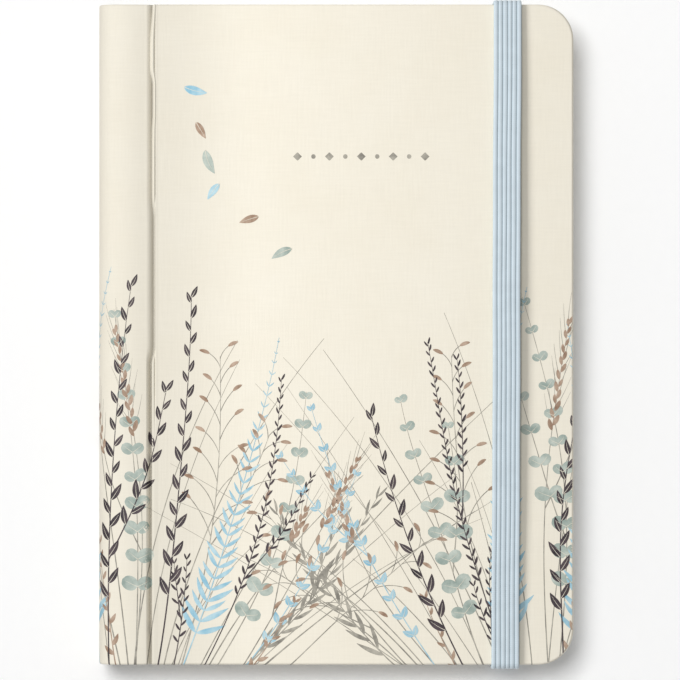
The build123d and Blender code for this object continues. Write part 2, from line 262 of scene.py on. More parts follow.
def writing_paper(name, light, dark, rule=None):
    """Uncoated paper: a cloudy tone with a fine tooth. Where a colour is given for them, pale rules are
    printed on it a line of writing apart."""
    material, tree, shader, coords = start_material(name, {"Roughness": 0.85})
    place = coords["Object"]
    cloud = add_node(tree, "TexNoise", {"Vector": place, "Scale": 1 / (9 * MM), "Detail": 5.0})
    tooth = add_node(tree, "TexNoise", {"Vector": place, "Scale": 1 / (0.25 * MM), "Detail": 2.0})
    tints = {0: cloud.outputs["Fac"], 6: colour(light), 7: colour(dark)}
    ground = add_node(tree, "Mix", tints, data_type="RGBA").outputs[2]
    if rule:
        part = add_node(tree, "SeparateXYZ", {"Vector": place}).outputs
        lines = add_node(tree, "Math", {0: part["Y"], 1: RULE_PITCH * MM}, operation="DIVIDE")
        phase = add_node(tree, "Math", {0: lines.outputs["Value"]}, operation="FRACT").outputs["Value"]
        # A point is inked where each of these lies near its middle
        limits = ((phase, 0.5, RULE_WIDTH / RULE_PITCH / 2), (part["X"], RULED_X * MM, RULED_WIDE * MM),
                  (part["Y"], 0.0, RULED_HIGH * MM))
        inked = 1.0
        for limit in limits:
            near = add_node(tree, "Math", dict(enumerate(limit)), operation="COMPARE").outputs["Value"]
            inked = add_node(tree, "Math", {0: near, 1: inked}, operation="MULTIPLY").outputs["Value"]
        tints = {0: inked, 6: ground, 7: colour(rule)}
        ground = add_node(tree, "Mix", tints, data_type="RGBA").outputs[2]
    finish_colour(tree, shader, ground, tooth.outputs["Fac"], 0.03, 0.3)
    return material


def flecked_board(name, light, dark, fleck, fleck_size, dullness):
    """Pulp board or tinted paper: a cloudy ground with short dark fibres and a tooth that scatters light."""
    material, tree, shader, coords = start_material(name, {"Roughness": dullness})
    place = coords["Object"]
    cloud = add_node(tree, "TexNoise", {"Vector": place, "Scale": 1 / (6 * MM), "Detail": 5.0})
    tints = {0: cloud.outputs["Fac"], 6: colour(light), 7: colour(dark)}
    ground = add_node(tree, "Mix", tints, data_type="RGBA").outputs[2]
    fibres = {"Vector": place, "Scale": 1 / (fleck_size * MM), "Detail": 3.0, "Distortion": 1.5}
    fibre = add_node(tree, "TexNoise", fibres).outputs["Fac"]
    share = add_node(tree, "MapRange", {"Value": fibre, "From Min": 0.62, "From Max": 0.72}).outputs["Result"]
    tints = {0: share, 6: ground, 7: colour(fleck)}
    flecked = add_node(tree, "Mix", tints, data_type="RGBA").outputs[2]
    finish_colour(tree, shader, flecked, fibre, 0.04, 0.3)
    return material


def coated_wire(name, light, dark):
    """Steel wire in a thin nylon coat: an even satin tone that pools slightly darker in places."""
    material, tree, shader, coords = start_material(name, {})
    cloud = {"Vector": coords["Object"], "Scale": 1 / (1.5 * MM), "Detail": 3.0}
    pools = add_node(tree, "TexNoise", cloud).outputs["Fac"]
    tints = {0: pools, 6: colour(light), 7: colour(dark)}
    coat = add_node(tree, "Mix", tints, data_type="RGBA").outputs[2]
    dull = add_node(tree, "MapRange", {"Value": pools, "To Min": 0.28, "To Max": 0.45}).outputs["Result"]
    tree.links.new(dull, shader.inputs["Roughness"])
    finish_colour(tree, shader, coat, pools, 0.02, 0.2)
    return material


WEFT = 0.55  # crosswise yarn of the elastic, coarser than the real 0.35 so that it shows


def woven_elastic(name, rib, valley):
    """Ribbed woven elastic: pale raised cords with duller yarn between them, crossed by fine weft stitches.

    The map's first axis counts ribs across the band, and its second runs along it in millimetres."""
    material, tree, shader, coords = start_material(name, {"Roughness": 0.6, "Sheen Weight": 0.25})
    on_band = add_node(tree, "SeparateXYZ", {"Vector": coords["UV"]}).outputs
    phase = add_node(tree, "Math", {0: on_band["X"]}, operation="FRACT").outputs["Value"]
    offset = add_node(tree, "Math", {0: phase, 1: 0.5}, operation="SUBTRACT").outputs["Value"]
    away = add_node(tree, "Math", {0: offset}, operation="ABSOLUTE").outputs["Value"]
    between_ribs = {"Value": away, "From Min": 0.24, "From Max": 0.48}
    share = add_node(tree, "MapRange", between_ribs, interpolation_type="SMOOTHSTEP").outputs["Result"]
    tints = {0: share, 6: colour(rib), 7: colour(valley)}
    cord = add_node(tree, "Mix", tints, data_type="RGBA").outputs[2]
    turns = add_node(tree, "Math", {0: on_band["Y"], 1: 2 * np.pi / WEFT}, operation="MULTIPLY")
    stitch = add_node(tree, "Math", {0: turns.outputs["Value"]}, operation="SINE").outputs["Value"]
    cloud = {"Vector": coords["Object"], "Scale": 1 / (4 * MM), "Detail": 4.0}
    uneven = add_node(tree, "TexNoise", cloud).outputs["Fac"]
    tone = add_node(tree, "Math", {0: stitch, 1: 0.012, 2: uneven}, operation="MULTIPLY_ADD").outputs["Value"]
    levels = {"Value": tone, "From Min": 0.3, "From Max": 0.7, "To Min": 0.95, "To Max": 1.03}
    level = add_node(tree, "MapRange", levels).outputs["Result"]
    shaded = add_node(tree, "VectorMath", {0: cord, "Scale": level}, operation="SCALE").outputs["Vector"]
    finish_colour(tree, shader, shaded, stitch, 0.04, 0.35)
    return material


def studio_sweep(name):
    """White background paper: an even matt white with a barely uneven surface."""
    values = {"Roughness": 0.95, "Specular IOR Level": 0.1}
    material, tree, shader, coords = start_material(name, values)
    cloud = {"Vector": coords["Object"], "Scale": 1 / (3 * MM), "Detail": 2.0}
    grain = add_node(tree, "TexNoise", cloud).outputs["Fac"]
    tints = {0: grain, 6: colour("#FCFCFC"), 7: colour("#FAFAFA")}
    white = add_node(tree, "Mix", tints, data_type="RGBA").outputs[2]
    finish_colour(tree, shader, white, grain, 0.01, 0.1)
    return material


COVER = embossed_paper("linen-embossed covering paper", "#EFE9DA", "#ECE5D4", 22.0, 0.25)
# The same paper with painted shade towards the hinge groove
HINGE_SHADED_PAPER = embossed_paper("linen-embossed covering paper at the hinge", "#EFE9DA", "#ECE5D4", 22.0, 0.25,
                        painted_hinge_shade=True)
ENDPAPER = flecked_board("tinted endpaper", "#C9DAE2", "#BFD2DB", "#A9C1CC", 0.7, 0.8)
LEAF = writing_paper("uncoated writing paper", "#F3EEE1", "#EEE8D9", "#B4C4CC")
TAB = writing_paper("uncoated tab card", "#EFE9DA", "#E8E1CF", "#A8BAC4")
BOARD = flecked_board("greyboard", "#A9A399", "#98928A", "#77716A", 0.6, 0.9)
WIRE = coated_wire("nylon-coated steel wire", "#E8E4D8", "#D6D1C3")
ELASTIC = woven_elastic("ribbed woven elastic", "#C8D5DD", "#ABBBC4")
INKS = {
    "grey": embossed_paper("taupe printing ink on covering paper", "#7D7970", "#B5B0A3", 3.0, 0.16),
    "sage": embossed_paper("sage printing ink on covering paper", "#92A29A", "#C4CCC2", 4.0, 0.16),
    "sky": embossed_paper("sky blue printing ink on covering paper", "#86B8CD", "#BAD6DE", 4.0, 0.16),
    "bark": embossed_paper("tan printing ink on covering paper", "#8F725C", "#BFA793", 3.0, 0.16),
    "plum": embossed_paper("plum-black printing ink on covering paper", "#2C242A", "#564A4E", 3.0, 0.16),
    "bare": embossed_paper("unprinted veins of covering paper", "#E6E0D0", "#DDD6C4", 6.0, 0.2),
}


def grid_faces(rows, columns, closed=False):
    """Quads of a grid numbered row by row; where it is closed, the last column joins the first."""
    row = np.arange(rows - 1)[:, None]
    column = np.arange(columns if closed else columns - 1)[None, :]
    following = (column + 1) % columns
    corners = (row * columns + column, (row + 1) * columns + column,
               (row + 1) * columns + following, row * columns + following)
    return np.stack(corners, axis=-1).reshape(-1, 4)


def make_piece(name, points, faces, material, smooth=True):
    """Puts points in millimetres and quads into a mesh object at the origin."""
    points = np.asarray(points, float).reshape(-1, 3)
    mesh = bpy.data.meshes.new(name)
    mesh.vertices.add(len(points))
    mesh.vertices.foreach_set("co", (points * MM).ravel())
    mesh.loops.add(faces.size)
    mesh.loops.foreach_set("vertex_index", faces.ravel().astype(np.int32))
    mesh.polygons.add(len(faces))
    mesh.polygons.foreach_set("loop_start", np.arange(0, faces.size, faces.shape[1], dtype=np.int32))
    mesh.polygons.foreach_set("use_smooth", np.full(len(faces), smooth))
    mesh.materials.append(material)
    mesh.update()
    piece = bpy.data.objects.new(name, mesh)
    bpy.context.scene.collection.objects.link(piece)
    return piece


def thicken(piece, thickness):
    """Gives a sheet its thickness, on the side away from its face. Its rim, the edges of one face only, is
    kept sharp, so that the face is shaded as flat as it lies."""
    mesh = piece.data
    mesh.update(calc_edges=True)
    edge_of_corner = np.zeros(len(mesh.loops), np.int32)
    mesh.loops.foreach_get("edge_index", edge_of_corner)
    rim = np.bincount(edge_of_corner, minlength=len(mesh.edges)) == 1
    mesh.attributes.new("sharp_edge", "BOOLEAN", "EDGE").data.foreach_set("value", rim)
    wall = piece.modifiers.new("thickness", "SOLIDIFY")
    wall.thickness = thickness * MM
    wall.offset = -1.0


def smoothstep(low, high, value):
    """0 below low, 1 above high, and 3t squared less 2t cubed between them."""
    t = np.clip((value - low) / (high - low), 0, 1)
    return t * t * (3 - 2 * t)


def over_edge(length):
    """Distance v measured over the face and round its head or tail edge: straight across, then a quarter
    circle of the edge's radius, then straight down. Returns y, the depth below the face and the turn."""
    past = np.clip(np.abs(length) - (HEAD - EDGE_ROUND), 0, None)
    turn = np.minimum(past / EDGE_ROUND, np.pi / 2)
    y = np.sign(length) * (np.minimum(np.abs(length), HEAD - EDGE_ROUND) + EDGE_ROUND * np.sin(turn))
    depth = EDGE_ROUND * (1 - np.cos(turn)) + np.clip(past - EDGE_ROUND * np.pi / 2, 0, None)
    return y, depth, turn


def strip_fall(x):
    """Fall of the strip's face: with the square of the distance from the shoulder, and back to none in the
    groove."""
    across = np.clip((x - STRIP_X) / (STRIP_END - STRIP_X), 0, 1)
    return STRIP_FALL * across ** 2 * (1 - smoothstep(STRIP_END, FRONT_X, x))


GROOVE_WALL = (FRONT_X - STRIP_END) / 2
GROOVE_REACH = GROOVE_WALL + EDGE_ROUND + GROOVE_LIP
GROOVE_RUN = np.linspace(-GROOVE_REACH, GROOVE_REACH, 112)


def window(rise, fall, value):
    """Rises from 0 to 1 between the first two values and falls back to 0 between the other two."""
    return smoothstep(*rise, value) * (1 - smoothstep(*fall, value))


def bell(away, width):
    """Bell curve: the exponential of minus the square of a distance over a width."""
    return np.exp(-(away / width) ** 2)


def along_groove(lower, middle, upper, v):
    """Value at a height from those of the lower, middle and upper part, eased from each to the next."""
    to_middle = smoothstep(*LOWER_FADES, v)
    to_upper = smoothstep(*UPPER_FADES, v)
    return lower + (middle - lower) * to_middle + (upper - middle) * to_upper


def groove_section(off, v):
    """Depth of a free paper in the groove. Across, it falls from the strip with a power of the way to the
    crease, and stays deep from there until a power brings it up to the cover. Its lower part lies further
    left and is narrower, with a bell curve down for a faint line beside it. Along its upper part the crease
    wanders left, and the paper comes up early and is puckered: a bell curve up for a thin ridge, and one
    down beside it for a second crease."""
    upper = smoothstep(*UPPER_FADES, v)
    aside = window(*ASIDE_FADES, v)
    ridge = PUCKER_X + DRIFT_RIGHT * smoothstep(*DRIFT_FADES, v) - ASIDE_LEFT * aside
    upper_crease = ridge - PUCKER_TO_CREASE
    upper_depth = GROOVE_DEPTH * ((upper_crease - GROOVE_FROM[2]) / FULL_REACH) ** DEPTH_POWER
    crease = along_groove(*CREASE_X, upper_crease, v)
    deep = along_groove(GROOVE_DEPTH, GROOVE_DEPTH, upper_depth, v)
    left = along_groove(*GROOVE_FROM, v)
    right = along_groove(*GROOVE_TO, v)
    fallen = np.clip((off - left) / (crease - left), 0, 1)
    to_rise = np.clip((right - off) / (right - crease), 0, 1)
    rising = upper * to_rise ** RISE_POWER + (1 - upper) * (1 - (1 - to_rise) ** RISE_POWER)
    depth = deep * np.where(off < crease, fallen ** FALL_POWER, rising)
    depth += LINE_DEPTH * window(LINE_FADES, LOWER_FADES, v) * bell(off - LINE_X, LINE_WIDTH)
    pinched = (PINCH_LEAST + PINCH_AT_HEAD * window(*PINCH_HEAD_FADES, v)
               + PINCH_LOW * (1 - smoothstep(*PINCH_LOW_FADES, v)))
    pinch_at = ridge + PINCH_TO_RIDGE + PINCH_ASIDE * aside
    depth += PINCH_DEPTH * pinched * smoothstep(*PINCH_FADES, v) * bell(off - pinch_at, PINCH_WIDTH)
    return depth - PUCKER_HEIGHT * upper * bell(off - ridge, PUCKER_WIDTH)


def groove_depth(off, v):
    """Depth of the paper in the groove: nowhere below the boards' edges, a quarter circle on either side."""
    depth = groove_section(off, v)
    from_face = np.clip(GROOVE_WALL + EDGE_ROUND - np.abs(off), 0, EDGE_ROUND)
    edge = EDGE_ROUND - np.sqrt(EDGE_ROUND ** 2 - from_face ** 2)
    return np.where(np.abs(off) < GROOVE_WALL, depth, np.minimum(depth, edge)) - LAY


def mark_creases(piece, x, v):
    """Writes on each point of a piece how deep in a crease it lies: a power of its share of the
    groove's depth. The paper's material turns this into painted shade."""
    depth = np.where(np.abs(x - GROOVE_X) < GROOVE_REACH, groove_section(x - GROOVE_X, v), 0)
    crease = np.clip(depth / GROOVE_DEPTH, 0, 1) ** CREASE_POWER
    piece.data.attributes.new("crease", "FLOAT", "POINT").data.foreach_set("value", crease.ravel())


def face_height(x, v):
    """Height of the case's upper face over x: the fall of the strip, and the groove."""
    off = x - GROOVE_X
    sink = np.where(np.abs(off) < GROOVE_REACH, groove_depth(off, v), 0)
    return TOP - sink - strip_fall(x)


TURN_DOWN = 0.5  # the paper runs this far down past head and tail
ROLL_ROWS = 12  # rows of points where it rolls over an edge
STRIP_LAP = 0.1  # the strip's paper laps the groove's by this
SHOULDER_LAP = 0.05  # angle by which a shoulder's paper laps its neighbours


def rows_over_edges(rows):
    """Distances v from tail to head, with more rows where the paper rolls over both edges."""
    flat = HEAD - EDGE_ROUND
    roll = np.linspace(flat, HEAD + TURN_DOWN, ROLL_ROWS)
    return np.concatenate([-roll[::-1], np.linspace(-flat, flat, rows)[1:-1], roll])


def sheet_over_edges(name, x, lift):
    """Paper over part of the upper face: heights over x, carried from tail to head and rolled over both
    edges."""
    v = rows_over_edges(240)
    grid_x, grid_v = np.meshgrid(x, v, indexing="ij")
    y, depth, turn = over_edge(grid_v)
    z = face_height(grid_x, grid_v) - depth + lift * np.cos(turn)
    points = np.stack([grid_x, y + np.sign(grid_v) * lift * np.sin(turn), z], axis=-1)
    piece = make_piece(name, points, grid_faces(len(x), len(v)), HINGE_SHADED_PAPER)
    mark_creases(piece, grid_x, grid_v)
    thicken(piece, PAPER)
    return piece


def shoulder_sheet(name, height):
    """Paper round one long edge of the spine: a quarter circle carried from tail to head, drawn in at both
    ends.

    height gives a point's height from how far the circle has risen there."""
    turn = np.linspace(-SHOULDER_LAP, np.pi / 2 + SHOULDER_LAP, 22)
    v = rows_over_edges(60)
    grid_turn, grid_v = np.meshgrid(turn, v, indexing="ij")
    y, depth, _ = over_edge(grid_v)
    radius = SHOULDER + LAY / 2 - depth
    x = STRIP_X - radius * np.cos(grid_turn)
    z = height(radius * np.sin(grid_turn))
    piece = make_piece(name, np.stack([x, y, z], axis=-1), grid_faces(len(turn), len(v)), COVER)
    thicken(piece, PAPER)
    return piece


# Folds of the case: the bodies on either side of each, and where it starts and ends
FOLDS = {
    "groove": ("front_strip", "front_cover", (STRIP_END * MM, 0, TOP * MM), (FRONT_X * MM, 0, TOP * MM)),
    "front_shoulder": ("spine", "front_strip", (SPINE_X * MM, 0, (TOP - SHOULDER) * MM),
                       (STRIP_X * MM, 0, TOP * MM)),
    "back_shoulder": ("spine", "back_cover", (SPINE_X * MM, 0, SHOULDER * MM), (STRIP_X * MM, 0, 0)),
}


def blend_over(piece):
    """Bakes a piece's placement into its mesh; the piece lies over a fold between two bodies."""
    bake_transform(piece)


# Covering paper at the folds
groove = sheet_over_edges("groove_paper", GROOVE_X + GROOVE_RUN, 0.0)
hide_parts("groove_hinge")
blend_over(groove)

strip_run = np.linspace(STRIP_X, GROOVE_X - GROOVE_REACH + STRIP_LAP, 24)
strip_face = sheet_over_edges("strip_paper_face", strip_run, LAY)
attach(strip_face, "front_strip")

front_shoulder = shoulder_sheet("front_shoulder_paper", lambda rise: TOP - SHOULDER + rise)
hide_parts("front_shoulder")
blend_over(front_shoulder)
back_shoulder = shoulder_sheet("back_shoulder_paper", lambda rise: SHOULDER - rise)
back_shoulder.data.flip_normals()
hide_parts("back_shoulder")
blend_over(back_shoulder)

# Printed sprays, drawn on the case laid out flat: u is x on the front and runs on round the spine to the back
QUARTER_RUN = SHOULDER * np.pi / 2
SPINE_RUN = TOP - 2 * SHOULDER
BACK_U = STRIP_X - 2 * QUARTER_RUN - SPINE_RUN
INK_LIFT = 0.014  # an ink lies this far over the board's paper, and the next this much over it
INK_STEP = 0.007
INK_FILM = 0.006
FORE_MARGIN = 0.25  # the print stops this far short of the fore-edges
PRINT_DOWN = 1.0  # and this far past head and tail
BEYOND = 10.0  # stretches of the flat case run on past the fore-edges by this
AT_EDGE = 6  # divisions of a printed shape where an edge cuts it or it rolls over one
# Divisions of a printed shape where the paper is curved
FINER = {"strip": 2, "groove": 5, "front_shoulder": 4, "back_shoulder": 4}
REGIONS = {  # stretches of the flat case
    "back": (BACK_U - (FORE_X - STRIP_X) - BEYOND, BACK_U),
    "back_shoulder": (BACK_U, BACK_U + QUARTER_RUN),
    "spine": (BACK_U + QUARTER_RUN, STRIP_X - QUARTER_RUN),
    "front_shoulder": (STRIP_X - QUARTER_RUN, STRIP_X),
    "strip": (STRIP_X, GROOVE_X - GROOVE_REACH),
    "groove": (GROOVE_X - GROOVE_REACH, GROOVE_X + GROOVE_REACH),
    "front": (GROOVE_X + GROOVE_REACH, FORE_X + BEYOND),
}


def wrap(u, v, lift):
    """Place on the case of a point of the flat print: over the front by the face's height, then round the
    spine by two quarter circles with a straight between them, and over head and tail edges by over_edge."""
    past = STRIP_X - u
    first = np.clip(past / SHOULDER, 0, np.pi / 2)
    second = np.clip((past - QUARTER_RUN - SPINE_RUN) / SHOULDER, 0, np.pi / 2)
    down = np.clip(past - QUARTER_RUN, 0, SPINE_RUN)
    under = np.clip(BACK_U - u, 0, None)
    x = np.where(past < 0, u, STRIP_X - SHOULDER * np.sin(first) + SHOULDER * (1 - np.cos(second)) + under)
    y, depth, turn = over_edge(v)
    z = np.where(past < 0, face_height(u, v),
                 TOP - SHOULDER * (1 - np.cos(first)) - down - SHOULDER * np.sin(second))
    out = lift * np.cos(turn) - depth
    facing = first + second
    y = y + np.sign(v) * lift * np.sin(turn)
    return np.stack([x - np.sin(facing) * out, y, z + np.cos(facing) * out], axis=-1)


def curves(base, angle, length, bend, wave, samples):
    """Curves of given length: the heading starts at an angle, turns evenly by its bend and sways by one wave,
    and the path is the running sum of its steps. One row for each curve."""
    t = np.linspace(0, 1, samples)
    heading = angle[:, None] + bend[:, None] * t + wave[:, None] * np.sin(2 * np.pi * t)
    step = np.stack([np.cos(heading), np.sin(heading)], axis=-1) * (length / (samples - 1))[:, None, None]
    path = base[:, None, :] + np.cumsum(step, axis=1) - step
    return path, heading


WIDTH_LAWS = {  # width along a ribbon from its foot at 0 to its tip at 1
    "stem": lambda t: 1 - 0.7 * t,
    "blade": lambda t: np.sin(np.pi * t ** 0.8) ** 0.9 + 0.03,
    "disc": lambda t: np.sqrt(1 - (2 * t - 1) ** 2) + 0.03,
    "seed": lambda t: np.sin(np.pi * t) ** 0.65 + 0.05,
    "lozenge": lambda t: 1 - np.abs(2 * t - 1) + 0.02,
    "rule": lambda t: np.ones_like(t),
}


def ribbons(path, heading, width, law):
    """Flat ribbons: each point of a path gets a right and a left edge, half its width to either side."""
    wide = width[:, None] * WIDTH_LAWS[law](np.linspace(0, 1, path.shape[1]))
    side = np.stack([-np.sin(heading), np.cos(heading)], axis=-1) * wide[..., None] / 2
    return np.stack([path - side, path + side], axis=2)


STEM_SAMPLES = 150
BLADE_SAMPLES = 12


def blades(base, *sizes, law):
    """Flat ribbons on short curves that don't sway. The sizes are their angle, length, bend and width."""
    angle, length, bend, width = (np.broadcast_to(size, len(base)) for size in sizes)
    return ribbons(*curves(base, angle, length, bend, np.zeros(len(base)), BLADE_SAMPLES), width, law)


def ribbon_faces(count, samples, first):
    """Quads of some ribbons whose points are numbered from first, one ribbon after another."""
    starts = first + np.arange(count) * samples * 2
    return (grid_faces(samples, 2)[None] + starts[:, None, None]).reshape(-1, 4)


SPRIGS = {
    # inks of stem and blades, stem width, pairs, first and last pair along the stem, blade length and
    # slimness, how much shorter at the tip, spread and curl in degrees, width law, blades that alternate,
    # blades with a vein
    "fern": ("sky", "sky", 0.34, 28, 0.14, 0.99, 8.0, 0.17, 0.93, 60, 20, "blade", False, False),
    "laurel": ("plum", "plum", 0.4, 11, 0.22, 0.98, 5.4, 0.33, 0.35, 40, 16, "blade", True, True),
    "gum": ("grey", "sage", 0.34, 10, 0.25, 0.98, 4.4, 0.82, 0.5, 64, 10, "disc", False, True),
    "barley": ("grey", "bark", 0.34, 9, 0.7, 0.99, 3.1, 0.36, 0.3, 27, 14, "seed", True, False),
    "willow": ("grey", "grey", 0.34, 16, 0.15, 0.98, 7.6, 0.15, 0.45, 30, 18, "blade", True, False),
    "box": ("sky", "sky", 0.32, 15, 0.2, 0.98, 3.2, 0.5, 0.35, 50, 12, "blade", False, True),
    "oat": ("grey", "grey", 0.36, 7, 0.45, 0.97, 11.0, 0.02, 0.6, 24, -34, "rule", True, False),
    "heath": ("plum", "plum", 0.3, 24, 0.3, 0.99, 2.6, 0.24, 0.3, 44, 14, "seed", True, False),
    "tuft": ("bark", "bark", 0.36, 15, 0.2, 0.98, 3.4, 0.34, 0.35, 46, 16, "blade", True, False),
}
SPRIG_LENGTH = 95.0  # a sprig of this length has its full number of pairs
AWN = (7.0, 0.15)  # length and width
OAT_SEED = (3.0, 0.95)
VEIN = 0.16
VARIED = (0.85, 1.12)  # blades of a sprig vary between these factors
prints = {ink: [] for ink in INKS}


def sprig(kind, base, angle, length, bend):
    """A stem with blades set along both its sides, shortening evenly to its tip. An oat's bare stalks end in
    hanging seeds, and barley's seeds in awns. Returns the stem's path and heading."""
    (stalk, ink, stem, pairs, first, last, blade, slim, shrink, spread, curl, law, alternate,
     veined) = SPRIGS[kind]
    path, heading = curves(np.array([base]), np.array([angle]), np.array([length]), np.array([bend]),
                           np.array([rng.uniform(-0.08, 0.08)]), STEM_SAMPLES)
    prints[stalk].append(ribbons(path, heading, np.array([stem]), "stem"))
    pairs = max(4, round(pairs * length / SPRIG_LENGTH))
    share = np.repeat(np.linspace(0, 1, pairs), 2) + (np.tile([0, 0.5 / pairs], pairs) if alternate else 0)
    side = np.tile([1.0, -1.0], pairs)
    count = len(share)
    at = (np.clip(first + (last - first) * share, 0, 0.995) * (STEM_SAMPLES - 1)).astype(int)
    foot = path[0, at]
    size = blade * (1 - shrink * np.clip(share, 0, 1)) * rng.uniform(*VARIED, count)
    way = heading[0, at] + side * np.radians(spread) * (1 - 0.25 * share) * rng.uniform(*VARIED, count)
    turn = -np.radians(curl) * side * rng.uniform(0.6, 1.4, count)
    blade_path, blade_heading = curves(foot, way, size, turn, np.zeros(count), BLADE_SAMPLES)
    prints[ink].append(ribbons(blade_path, blade_heading, np.maximum(size * slim, 0.2), law))
    tip, tip_way = blade_path[:, -1], blade_heading[:, -1]
    if veined:
        prints["bare"].append(blades(foot, way, size * 0.8, turn * 0.8, VEIN, law="stem"))
    if kind == "oat":
        prints["bark"].append(blades(tip, tip_way, OAT_SEED[0], side * 0.5, OAT_SEED[1], law="seed"))
    if kind == "barley":
        prints["grey"].append(blades(tip, tip_way + side * 0.1, AWN[0], side * -0.1, AWN[1], law="stem"))
    return path[0], heading[0]


FOOT_V = -HEAD - 4  # stems start past the tail edge


def grasses(count, foot_u, reach, angle_low, angle_high, length_low, length_high):
    """Bare grass blades: thin ribbons from feet along the tail edge that arch the way they lean."""
    share = np.linspace(0, 1, count)
    angle = np.radians(angle_low + (angle_high - angle_low) * share) + rng.uniform(-0.1, 0.1, count)
    foot = foot_u + reach * (1 - share) + rng.uniform(-4, 4, count)
    base = np.stack([foot, np.full(count, FOOT_V)], axis=-1)
    length = rng.uniform(length_low, length_high, count)
    bend = np.where(angle > np.pi / 2, 1, -1) * rng.uniform(0.1, 0.6, count)
    path, heading = curves(base, angle, length, bend, np.zeros(count), STEM_SAMPLES)
    prints["grey"].append(ribbons(path, heading, rng.uniform(0.22, 0.4, count), "stem"))


def fan(foot_u, reach, angle_low, angle_high, kinds, length_low, length_high):
    """Sprigs spread evenly between two angles, from feet along the tail edge. The later, steeper ones are
    longer and stand nearer the first foot, and every other one forks into a smaller sprig of its kind."""
    for place, kind in enumerate(kinds):
        share = place / (len(kinds) - 1)
        angle = np.radians(angle_low + (angle_high - angle_low) * share) + rng.uniform(-0.05, 0.05)
        length = (length_low + (length_high - length_low) * share ** 0.7) * rng.uniform(0.82, 1.04)
        lean = 1 if angle < np.pi / 2 else -1
        foot = (foot_u + reach * (1 - share) + rng.uniform(-4, 4), FOOT_V + rng.uniform(-2, 1))
        path, heading = sprig(kind, foot, angle, length, lean * rng.uniform(0.1, 0.45))
        if place % 2:
            at = int(STEM_SAMPLES * rng.uniform(0.3, 0.5))
            fork = rng.choice([-1, 1]) * rng.uniform(0.3, 0.5)
            sprig(kind, path[at], heading[at] + fork, length * rng.uniform(0.38, 0.5), -0.6 * fork)


LEFT_KINDS = ("oat", "willow", "box", "barley", "gum", "heath", "fern", "oat", "laurel", "barley", "gum",
              "laurel", "fern")
RIGHT_KINDS = ("willow", "oat", "barley", "box", "laurel", "gum", "oat", "heath", "fern", "barley", "laurel",
               "gum", "fern")
LOW_KINDS = ("tuft", "heath", "tuft")
FANS = (  # first foot and reach of the feet, first and last angle, kinds, least and most length
    (-64.0, 44, 40, 99, LEFT_KINDS, 62, 114),
    (67.0, -44, 140, 80, RIGHT_KINDS, 62, 116),
    (-62.0, 34, 52, 104, LOW_KINDS, 26, 46),
    (62.0, -30, 128, 78, LOW_KINDS, 26, 46),
    (BACK_U - 4, -26, 156, 84, LEFT_KINDS[2:12], 60, 110),
    (BACK_U - 124, 26, 26, 98, RIGHT_KINDS, 62, 114),
)
for spray in FANS:
    fan(*spray)
GRASSES = (  # number, then the same without kinds
    (16, -60, 40, 36, 104, 45, 112),
    (16, 62, -40, 144, 78, 45, 110),
    (14, BACK_U - 118, 40, 38, 100, 45, 108),
)
for tuft in GRASSES:
    grasses(*tuft)


def drifting_leaves(count, start, stop):
    """Single blades down a parabola, which moves aside with the square of its fall, each turned a little
    more than the last."""
    share = np.linspace(0, 1, count)[:, None]
    base = start + (np.array(stop) - start) * share ** [2, 1] + rng.uniform(-1.5, 1.5, (count, 2))
    angle = np.linspace(-0.4, -2.9, count) + rng.uniform(-0.5, 0.5, count)
    length = rng.uniform(5.0, 7.5, count)
    bend = rng.uniform(-0.6, 0.6, count)
    leaves = blades(base, angle, length, bend, length * 0.36, law="blade")
    veins = blades(base, angle, length * 0.85, bend * 0.85, VEIN, law="stem")
    for place, ink in enumerate(("sky", "bark", "sage")):
        prints[ink].append(leaves[place::3])
    prints["bare"].append(veins)


drifting_leaves(6, (-40, 66), (-12, 22))

ORNAMENT = (6.8, 48.0)  # middle of the row of small marks on the front
MARKS = 9
MARK_PITCH = 4.3
row = (np.arange(MARKS) - (MARKS - 1) / 2) * MARK_PITCH
for marks, size, law in ((row[::2], 2.3, "lozenge"), (row[1::2], 1.2, "disc")):
    mark_base = np.stack([ORNAMENT[0] + marks - size / 2, np.full(len(marks), ORNAMENT[1])], axis=-1)
    prints["grey"].append(blades(mark_base, 0.0, size, 0.0, size, law=law))


def on_case(flat):
    """True for points of the flat print that lie on the case: short of the fore-edges and inside their
    corners."""
    u, v = flat[..., 0], np.abs(flat[..., 1])
    past_front = u - (FORE_X - CORNER_RADIUS)
    past_back = (BACK_U - (FORE_X - STRIP_X) + CORNER_RADIUS) - u
    past = np.maximum(past_front, past_back)
    corner = np.hypot(np.clip(past, 0, None), np.clip(v - (HEAD - CORNER_RADIUS), 0, None))
    rounded = np.where(past > 0, corner < CORNER_RADIUS - FORE_MARGIN, True)
    return rounded & (v < HEAD + PRINT_DOWN)


GOLDEN = 0.618034  # spreads the ribbons of an ink over its layer, so that no two lie in one plane


def divided(corners, steps):
    """Divides quads: each new point is a mean of a quad's corners, weighted by how far along and across the
    quad it lies. Returns the points, where shared ones are merged, and the new quads."""
    along, across = np.meshgrid(np.linspace(0, 1, steps + 1), np.linspace(0, 1, steps + 1), indexing="ij")
    weight = np.stack([(1 - along) * (1 - across), along * (1 - across), along * across,
                       (1 - along) * across])
    fine = np.einsum("cij,nck->nijk", weight, corners)
    numbers = np.arange(len(corners))[:, None, None] * (steps + 1) ** 2 + grid_faces(steps + 1, steps + 1)
    merged, place = np.unique(fine.reshape(-1, corners.shape[2]).round(7), axis=0, return_inverse=True)
    return merged, place.reshape(-1)[numbers].reshape(-1, 4)


